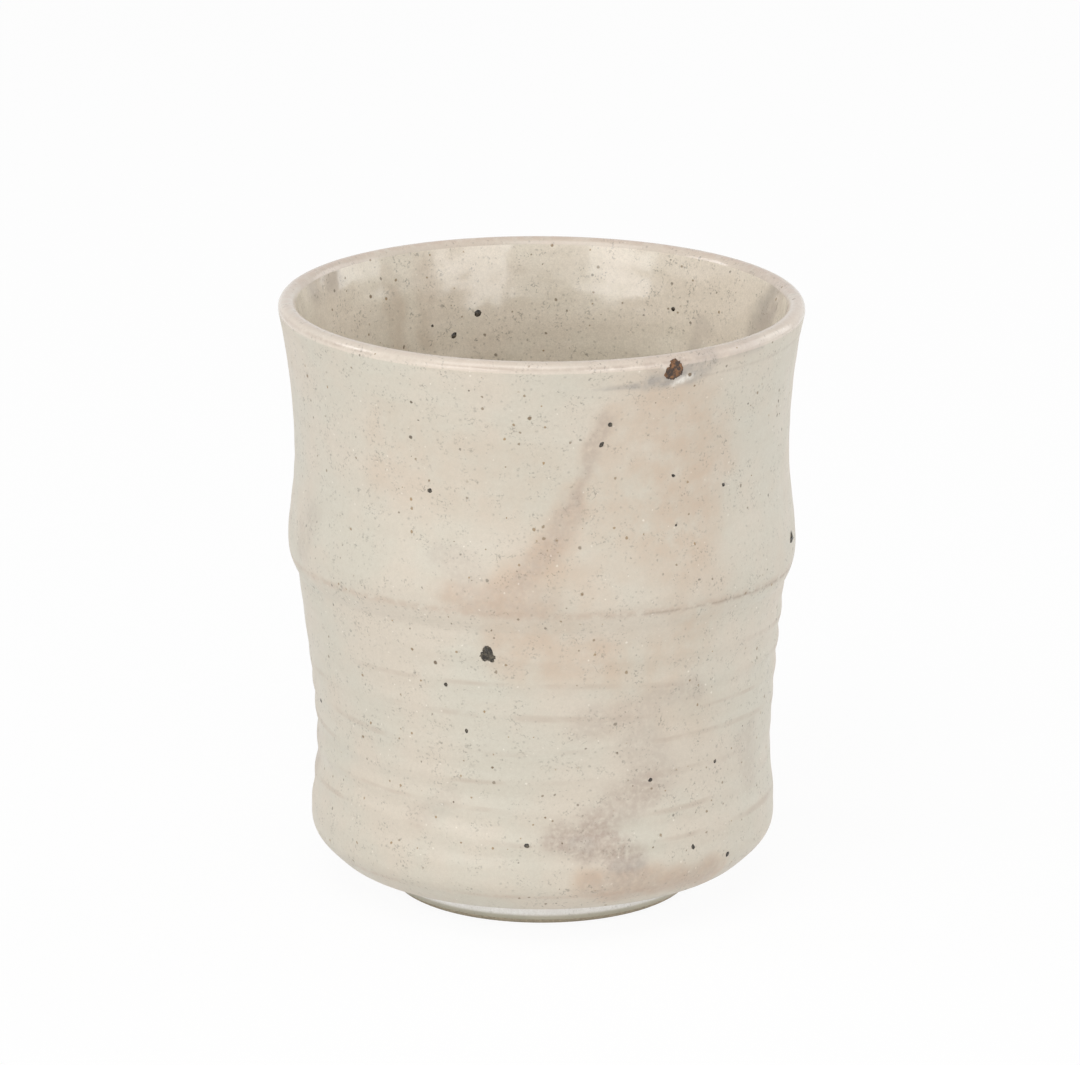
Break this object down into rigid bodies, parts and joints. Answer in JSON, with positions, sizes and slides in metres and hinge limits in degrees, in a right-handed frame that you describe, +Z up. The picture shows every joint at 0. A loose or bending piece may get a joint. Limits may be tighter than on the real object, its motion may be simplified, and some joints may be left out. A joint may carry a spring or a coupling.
{
  "type": "tea cup",
  "caption": "Tall handleless stoneware tea cup with a flared mouth, a belt that stands out at mid height, a rounded base and a narrow foot ring; it holds hot tea.",
  "frame": {"origin": "on the cup's axis, in the plane that the foot ring stands on", "axes": "+Z up along the cup's axis, -Y towards the viewer of the picture, +X to the viewer's right"},
  "size_m": [0.076, 0.076, 0.088],
  "materials": {
    "stoneware": "unglazed, fine and sandy",
    "outer_coat": "glossy pale feldspar glaze with pink and smoky blushes and iron specks",
    "lip_coat": "glossy, pinkish where the coats overlap",
    "inner_coat": "glossy pale feldspar glaze with iron specks",
    "foot_coat": "glossy, paler and greener",
    "iron_melt": "dark glassy iron melt",
    "iron_crust": "rusty burst crust"
  },
  "bodies": {
    "root": {"thrown_body": "stoneware", "foot_ring": "stoneware", "outer_glaze": "outer_coat", "lip_glaze": "lip_coat", "inner_glaze": "inner_coat", "foot_glaze": "foot_coat", "well_glaze": "foot_coat", "outer_iron_spots": "iron_melt", "inner_iron_spots": "iron_melt", "lip_iron_nodule": "iron_crust"}
  },
  "joints": []
}
